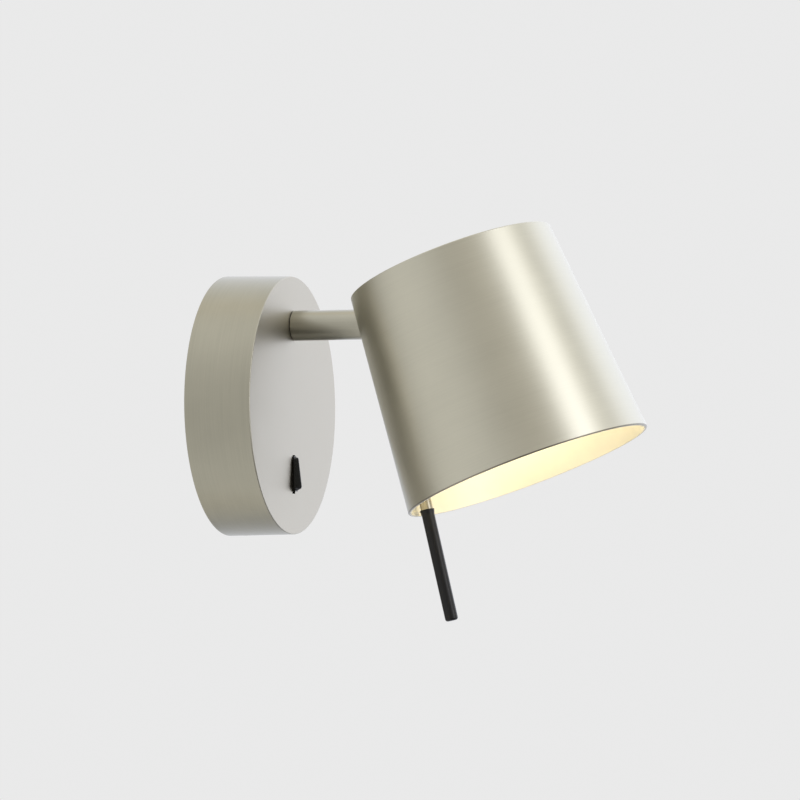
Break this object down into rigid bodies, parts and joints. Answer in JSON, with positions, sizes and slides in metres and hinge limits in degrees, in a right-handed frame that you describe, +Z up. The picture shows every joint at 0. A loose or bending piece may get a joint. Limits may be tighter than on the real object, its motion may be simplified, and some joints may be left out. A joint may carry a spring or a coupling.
{
  "type": "wall reading lamp",
  "caption": "Bedside wall reading lamp: round wall plate with a rocker switch, a short swivelling arm and a conical metal shade that tilts by a thin rod handle.",
  "frame": {"origin": "centre of the wall plate's back, on the wall's surface, midway between the two wall screws", "axes": "+Z up, +Y into the wall (so the lamp stands out along -Y), +X to the right seen from the room"},
  "size_m": [0.11, 0.1798, 0.1651],
  "materials": {
    "plate_nickel": "satin nickel, brushed round the skirt",
    "arm_nickel": "satin nickel",
    "shade_nickel": "satin nickel, brushed round the shade",
    "rod_nickel": "bright nickel",
    "zinc_steel": "zinc plated",
    "brass": "plain brass",
    "black_nylon": "fine matt black moulding",
    "sleeve_black": "matt black tube",
    "rubber_black": "matt",
    "terminal_cream": "satin moulding",
    "cap_metal": "nickel plated",
    "cap_insulator": "gloss black",
    "opal_glass": "opal",
    "lead_brown": "insulation",
    "lead_blue": "insulation",
    "lead_earth": "green insulation with a yellow stripe"
  },
  "bodies": {
    "wall_plate": {"wall_cover": "plate_nickel", "mounting_bracket": "zinc_steel", "cover_screws": "zinc_steel", "cable_grommet": "rubber_black", "terminal_block": "terminal_cream", "terminal_clamps": "brass", "terminal_screws": "brass", "block_screws": "zinc_steel", "earth_screw": "brass", "earth_tag": "zinc_steel", "switch_housing": "black_nylon", "switch_pin": "zinc_steel", "switch_tags": "brass", "switch_nuts": "zinc_steel", "arm_bush": "black_nylon", "stop_pin": "zinc_steel", "supply_live_lead": "lead_brown", "switched_live_lead": "lead_brown", "supply_neutral_lead": "lead_blue", "earth_lead": "lead_earth"},
    "rocker": {"switch_rocker": "black_nylon", "contact_bridge": "brass"},
    "arm": {"arm_tube": "arm_nickel", "arm_stud": "zinc_steel", "arm_nut": "zinc_steel", "spring_washer": "zinc_steel", "stop_washer": "zinc_steel", "tilt_bolt": "zinc_steel", "tilt_nut": "zinc_steel", "friction_washers": "rubber_black", "arm_live_lead": "lead_brown", "arm_neutral_lead": "lead_blue"},
    "head": {"shade": "shade_nickel", "shade_top": "shade_nickel", "bracket_screws": "zinc_steel", "head_bracket": "zinc_steel", "holder_nipple": "zinc_steel", "holder_cap": "black_nylon", "holder_body": "black_nylon", "holder_shell": "brass", "holder_contact": "brass", "lamp_cap": "cap_metal", "lamp_contact": "cap_insulator", "lamp_glass": "opal_glass", "head_live_lead": "lead_brown", "head_neutral_lead": "lead_blue", "handle_rod": "rod_nickel", "handle_nut": "zinc_steel", "handle_sleeve": "sleeve_black"}
  },
  "joints": [
    {"name": "arm_swivel", "type": "hinge", "parent": "wall_plate", "child": "arm", "pos_m": [0, -0.0286, 0.0336], "axis": [0, -1, 0], "range_deg": [-168, 168]},
    {"name": "head_tilt", "type": "hinge", "parent": "arm", "child": "head", "pos_m": [0, -0.0625, 0.0336], "axis": [-1, 0, 0], "range_deg": [-33, 13]},
    {"name": "switch_rock", "type": "hinge", "parent": "wall_plate", "child": "rocker", "pos_m": [0, -0.0243, -0.02915], "axis": [1, 0, 0], "range_deg": [0, 6]}
  ]
}
